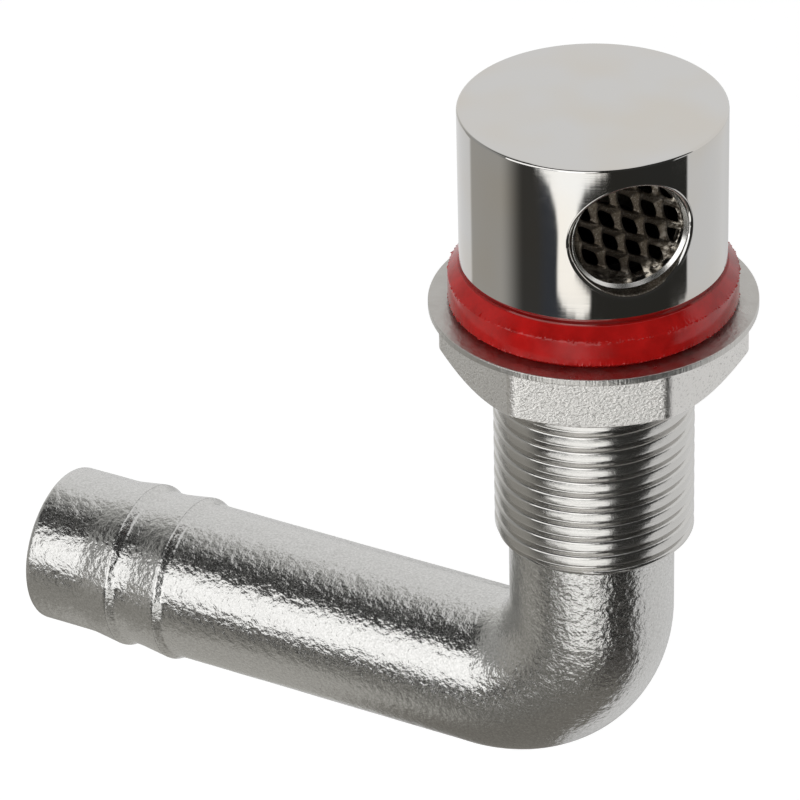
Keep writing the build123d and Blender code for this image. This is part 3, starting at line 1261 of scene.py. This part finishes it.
def washer_steel():
    """Punched sheet with a mottled, dull top."""
    finish = Finish("punched steel", (0.47, 0.455, 0.43), 0.33)
    clouds = finish.grain(1.6, detail=3)
    finish.feed(finish.shader.inputs["Roughness"], finish.spread(clouds, 0.26, 0.4))
    finish.relief(finish.grain(0.55, detail=3), 0.05)
    return finish.material


def sheared_steel():
    """Rim of the washer, with the upright marks of the shears."""
    finish = Finish("sheared steel", (0.60, 0.585, 0.56), 0.34)
    finish.relief(finish.grain((0.3, 0.3, 4.0), detail=2), 0.09)
    finish.relief(finish.grain(0.25, detail=2), 0.04)
    return finish.material


def ring_steel():
    """Bright steel of the pressed ring."""
    finish = Finish("bright steel", (0.80, 0.79, 0.76), 0.24)
    finish.relief(finish.grain(1.5, detail=1), 0.01)
    return finish.material


def mesh_steel():
    """Dull brown steel of the screen with fine pale specks, and a painted highlight: near the rim on the right side the
    strands are lightened in blotches and made smoother there.
    """
    finish = Finish("screen steel", (0.2, 0.17, 0.14), 0.42)
    specks = finish.grain(0.11, detail=2)
    blotches = finish.grain(0.55, detail=3)
    # Painted highlight: the strands near the rim and on the right side are lightened in blotches, standing in for the
    # glints of light on them there.
    outer = finish.spread(finish.from_axis((0, 0, vent_z), vent_outwards), 0, 1, 3.4 * MM, 5.6 * MM)
    sideways = finish.add("ShaderNodeVectorMath", {"operation": "DOT_PRODUCT"})
    finish.feed(sideways.inputs[0], finish.place)
    sideways.inputs[1].default_value = vent_across - 0.5 * upwards
    right_start, right_end = (-0.5 * vent_z - 1) * MM, (-0.5 * vent_z + 4) * MM
    right_side = finish.spread(sideways.outputs["Value"], 0.1, 1, right_start, right_end)
    painted_glint = finish.times(finish.times(outer, right_side), finish.spread(blotches, 0, 1, 0.42, 0.62))
    spots = finish.spread(specks, 0, 0.3, 0.55, 0.7)
    bright = finish.add("ShaderNodeMath", {"operation": "MAXIMUM"})
    finish.feed(bright.inputs[0], painted_glint)
    finish.feed(bright.inputs[1], spots)
    finish.shade(bright.outputs[0], (0.06, 0.048, 0.035), (0.62, 0.57, 0.5))
    finish.feed(finish.shader.inputs["Roughness"], finish.spread(painted_glint, 0.38, 0.18, 0, 1))
    finish.relief(specks, 0.03)
    return finish.material


def red_rubber():
    """Glossy deep red rubber with the fine upright streaks of its mould."""
    finish = Finish("red rubber", (0.38, 0.005, 0.004), 0.14, metallic=0.0)
    clouds = finish.grain(2.2, detail=3)
    finish.shade(finish.spread(clouds, 0, 1), (0.30, 0.004, 0.003), (0.45, 0.007, 0.006))
    finish.shader.inputs["Specular IOR Level"].default_value = 0.45
    finish.relief(finish.grain((0.22, 0.22, 2.5), detail=2), 0.008)
    finish.relief(finish.grain(0.16, detail=2), 0.005)
    return finish.material


mesh_finish = mesh_steel()
screen = make_flame_screen(mesh_finish)
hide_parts("flame_screen")
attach(screen, "vent")

for piece, finishes in (
    (elbow, (cast_steel(), turned_steel())),
    (head, (polished_steel(), bored_steel())),
    (nut, (nut_steel(),)),
    (washer, (washer_steel(), sheared_steel())),
    (screen_ring, (ring_steel(),)),
    (gasket, (red_rubber(),)),
):
    for finish in finishes:
        piece.data.materials.append(finish)

# %% [markdown]
# ## The studio
#
# Metal has hardly a colour of its own: it shows what stands round it. So the studio matters as much as the finishes.
# In the photograph a white sweep lies behind and over the fitting, the front is dark, a soft box stands at the front
# left, and one pale gap between the dark papers draws the bright band down the head. The papers here are seen by
# reflections alone. They cast no shadow, light nothing, and the camera looks through them at a plain pale floor.
#
# Directions are given as angles from the camera, seen from above: 0 is towards the camera and positive is to its
# right. The side of an upright cylinder mirrors what lies about 31 degrees below the horizon, so most papers lie
# flat, a little over the floor.

# %% Floor and world
floor_z = elbow_low[2] - 40
floor_reach = 4000
scene = bpy.context.scene
scene.view_settings.view_transform = "Standard"


def sheet_mesh(name, points, faces):
    """A flat or curved sheet of the studio, with its points in millimetres."""
    mesh = bpy.data.meshes.new(name)
    mesh.from_pydata([tuple(Vector(point) * MM) for point in points], [], faces)
    sheet = bpy.data.objects.new(name, mesh)
    scene.collection.objects.link(sheet)
    return sheet


def floor_paint():
    """Pale matt paint that looks whiter to the camera and to reflections, and still takes a shadow."""
    paint = bpy.data.materials.new("floor paint")
    paint.use_nodes = True
    tree = paint.node_tree
    matt = tree.nodes["Principled BSDF"]
    matt.inputs["Base Color"].default_value = (0.8, 0.8, 0.8, 1)
    matt.inputs["Roughness"].default_value = 0.9
    matt.inputs["Specular IOR Level"].default_value = 0.0
    rays = tree.nodes.new("ShaderNodeLightPath")
    seen = tree.nodes.new("ShaderNodeMath")
    seen.operation = "MAXIMUM"
    tree.links.new(rays.outputs["Is Camera Ray"], seen.inputs[0])
    tree.links.new(rays.outputs["Is Glossy Ray"], seen.inputs[1])
    lift = tree.nodes.new("ShaderNodeMath")
    lift.operation = "MULTIPLY"
    lift.inputs[1].default_value = floor_whitening
    tree.links.new(seen.outputs[0], lift.inputs[0])
    matt.inputs["Emission Color"].default_value = (1, 1, 1, 1)
    tree.links.new(lift.outputs[0], matt.inputs["Emission Strength"])
    return paint


floor_whitening = 0.52
floor = sheet_mesh("floor", [
    (-floor_reach, -floor_reach, floor_z),
    (floor_reach, -floor_reach, floor_z),
    (floor_reach, floor_reach, floor_z),
    (-floor_reach, floor_reach, floor_z),
], [(0, 1, 2, 3)])
floor.data.materials.append(floor_paint())

world_light = 0.55
world_white = 0.9


def studio_world():
    """Even light from all round, at a higher level where the camera or a reflection looks at it."""
    world = bpy.data.worlds.new("studio")
    world.use_nodes = True
    tree = world.node_tree
    background = tree.nodes["Background"]
    background.inputs["Color"].default_value = (1, 1, 1, 1)
    rays = tree.nodes.new("ShaderNodeLightPath")
    seen = tree.nodes.new("ShaderNodeMath")
    seen.operation = "MAXIMUM"
    tree.links.new(rays.outputs["Is Camera Ray"], seen.inputs[0])
    tree.links.new(rays.outputs["Is Glossy Ray"], seen.inputs[1])
    level = tree.nodes.new("ShaderNodeMapRange")
    level.inputs["To Min"].default_value = world_light
    level.inputs["To Max"].default_value = world_white
    tree.links.new(seen.outputs[0], level.inputs["Value"])
    tree.links.new(level.outputs[0], background.inputs["Strength"])
    return world


scene.world = studio_world()
print("floor at", round(floor_z, 1), "mm")

# %% Papers that only reflections see
def studio_place(direction, distance, height):
    """A point of the studio from its direction off the camera, in degrees, its distance and its height."""
    angle = camera_azimuth - math.pi / 2 + math.radians(direction)
    return (distance * math.cos(angle), distance * math.sin(angle), height)


def seen_in_metal_only(sheet):
    """Hides a sheet from all but reflections."""
    sheet.visible_camera = False
    sheet.visible_diffuse = False
    sheet.visible_transmission = False
    sheet.visible_shadow = False


def paper_paint():
    """Glowing paper that takes its tone from each point of its sheet."""
    paint = bpy.data.materials.new("painted paper")
    paint.use_nodes = True
    tree = paint.node_tree
    tree.nodes.clear()
    tone = tree.nodes.new("ShaderNodeAttribute")
    tone.attribute_name = "tone"
    glow = tree.nodes.new("ShaderNodeEmission")
    output = tree.nodes.new("ShaderNodeOutputMaterial")
    tree.links.new(tone.outputs["Color"], glow.inputs["Color"])
    tree.links.new(glow.outputs[0], output.inputs[0])
    return paint


paper = paper_paint()


def painted_sheet(name, places, tones):
    """A grid of the studio, given as rows of places, with a red, green and blue tone at each place."""
    points, faces = band(np.array(places), wrap=False)
    sheet = sheet_mesh(name, points.tolist(), faces.tolist())
    tone = sheet.data.color_attributes.new("tone", "FLOAT_COLOR", "POINT")
    flat = tones.reshape(-1, 3)
    tone.data.foreach_set("color", np.concatenate([flat, np.ones((len(flat), 1))], axis=1).ravel())
    sheet.data.materials.append(paper)
    seen_in_metal_only(sheet)
    return sheet


def soft_step(value, edge, softness):
    """Share that runs smoothly from 0 to 1 across an edge."""
    share = np.clip((value - edge) / softness + 0.5, 0, 1)
    return share * share * (3 - 2 * share)


def mixed(first, second, share):
    """Tones that run from the first to the second with a share."""
    return first + (second - first) * share[..., None]


# %% [markdown]
# The floor paper is painted with a rule: a tone for each direction and distance. From left to right it is a mid
# grey, a ramp down to a bluish dark, the pale gap, a deep dark and a sharp edge to a light grey. The gap opens and
# closes with the distance, and the polished wall of the head draws that as an hourglass. The sky paper is an arch of
# the same kind, with a tone for each direction and elevation: it is dark high on the left and right of the camera.

# %% Floor paper
paper_z = floor_z + 2
paper_far = 2000
gap_distances = (89, 97, 105, 140, 165, 176, 188, 191, 195, 201, 212, 219, 225, 229, 232, 236, 245)
gap_left = (-12, -31, -34, -60, -45, -12, -12, -27, -32, -32, -31, -33, -38, -45, -53, -40, -30)
gap_right = (-12, 12, 14, 17, 10, -12, -12, -5, -5, -17, -16, -15, -9, 2, 12, 4, -8)
grey_tone = np.array((0.43, 0.42, 0.395))
near_grey_tone = np.array((0.33, 0.32, 0.295))
near_dark_tone = np.array((0.20, 0.195, 0.18))
warm_dark_tone = np.array((0.050, 0.049, 0.046))
blue_dark_tone = np.array((0.046, 0.052, 0.064))
deep_tone = np.array((0.03, 0.03, 0.028))
bend_dark_tone = np.array((0.09, 0.085, 0.08))
tail_grey_tone = np.array((0.50, 0.49, 0.46))
nearest_tone = np.array((0.22, 0.21, 0.19))
light_tone = np.array((0.79, 0.79, 0.79))
back_light_tone = np.array((0.60, 0.60, 0.595))
gap_tone = np.array((1.45, 1.45, 1.43))
edge_distances = (60, 92, 98, 140, 184, 188, 234, 240)
edge_directions = (72, 66, 53, 62, 64, 82, 82, 66)


def floor_tones(direction, distance):
    """Tone of the floor paper at a direction in degrees and a distance."""
    far_dark = mixed(warm_dark_tone, blue_dark_tone, soft_step(direction, -45, 14))
    dark_left = mixed(near_dark_tone, far_dark, soft_step(distance, 130, 60))
    grey_left = mixed(near_grey_tone, grey_tone, soft_step(distance, 172, 16))
    grey_left = mixed(tail_grey_tone, grey_left, soft_step(distance, 88, 14))
    tones = mixed(grey_left, dark_left, soft_step(direction, -74, 26))
    tones = mixed(tones, deep_tone, soft_step(direction, -12, 8) * soft_step(distance, 91, 10))
    tones = mixed(tones, bend_dark_tone, soft_step(direction, 6, 20) * soft_step(-distance, -91, 10))
    left = np.interp(distance, gap_distances, gap_left)
    right = np.interp(distance, gap_distances, gap_right)
    in_gap = soft_step(direction, left, 3) * soft_step(-direction, -right, 3) * (right > left)
    tones = mixed(tones, gap_tone, in_gap)
    right_edge = np.interp(distance, edge_distances, edge_directions)
    tones = mixed(tones, light_tone, soft_step(direction, right_edge, 2.5))
    tones = mixed(tones, back_light_tone, soft_step(direction, 152, 36))
    left_edge = np.interp(distance, (150, 185), (-140, -126))
    tones = mixed(tones, light_tone, soft_step(-direction, -left_edge, 5))
    return mixed(tones, nearest_tone, soft_step(-distance, -45, 16) * soft_step(-direction, -62, 30))


directions = np.arange(-180, 180.1, 1.0)
distances = np.concatenate([(1, 15), np.arange(25, 180, 4), np.arange(180, 240, 1.5), np.geomspace(243, paper_far, 12)])
direction_grid, distance_grid = np.meshgrid(directions, distances)
places = [[studio_place(direction, distance, paper_z) for direction in directions] for distance in distances]
painted_sheet("floor paper", places, floor_tones(direction_grid, distance_grid))
print("floor paper from", directions[0], "to", directions[-1], "degrees")

# %% Sky paper
sky_top = 66
low_directions = (-152, -126, -88, -62)
low_levels = (0.8, 0.42, 0.38, 0.04)
high_directions = (-152, -140, -124, -106, -90)
high_levels = (0.66, 0.45, 0.29, 0.09, 0.03)


def sky_tones(direction, elevation):
    """Tone of the sky paper at a direction and an elevation in degrees."""
    low = np.interp(direction, low_directions, low_levels)
    high = np.interp(direction, high_directions, high_levels)
    level = low + (high - low) * soft_step(elevation, 38, 12)
    return level[..., None] * np.array((1.0, 1.0, 0.97))


sky_directions = np.arange(-152, 85, 2.0)
sky_elevations = np.arange(-8, sky_top + 0.1, 2.0)
direction_grid, elevation_grid = np.meshgrid(sky_directions, sky_elevations)
places = []
for elevation in np.radians(sky_elevations):
    reach, rise = paper_far * math.cos(elevation), paper_far * math.sin(elevation)
    places.append([studio_place(direction, reach, rise) for direction in sky_directions])
painted_sheet("sky paper", places, sky_tones(direction_grid, elevation_grid))
print("sky paper up to", sky_top, "degrees")


# %% Soft box
def area_lamp(name, place, aim, width, height, brightness):
    """A soft box at a place, facing a point. Its power follows from its size and its brightness."""
    data = bpy.data.lights.new(name, "AREA")
    data.shape = "RECTANGLE"
    data.size = width * MM
    data.size_y = height * MM
    data.energy = brightness * math.pi * data.size * data.size_y
    lamp = bpy.data.objects.new(name, data)
    lamp.location = Vector(place) * MM
    lamp.rotation_euler = (Vector(place) - Vector(aim)).to_track_quat("Z", "Y").to_euler()
    scene.collection.objects.link(lamp)
    return lamp


middle = (-15, 0, -20)
area_lamp("front left box", studio_place(-38, 450, 99), middle, 700, 400, 1.5)
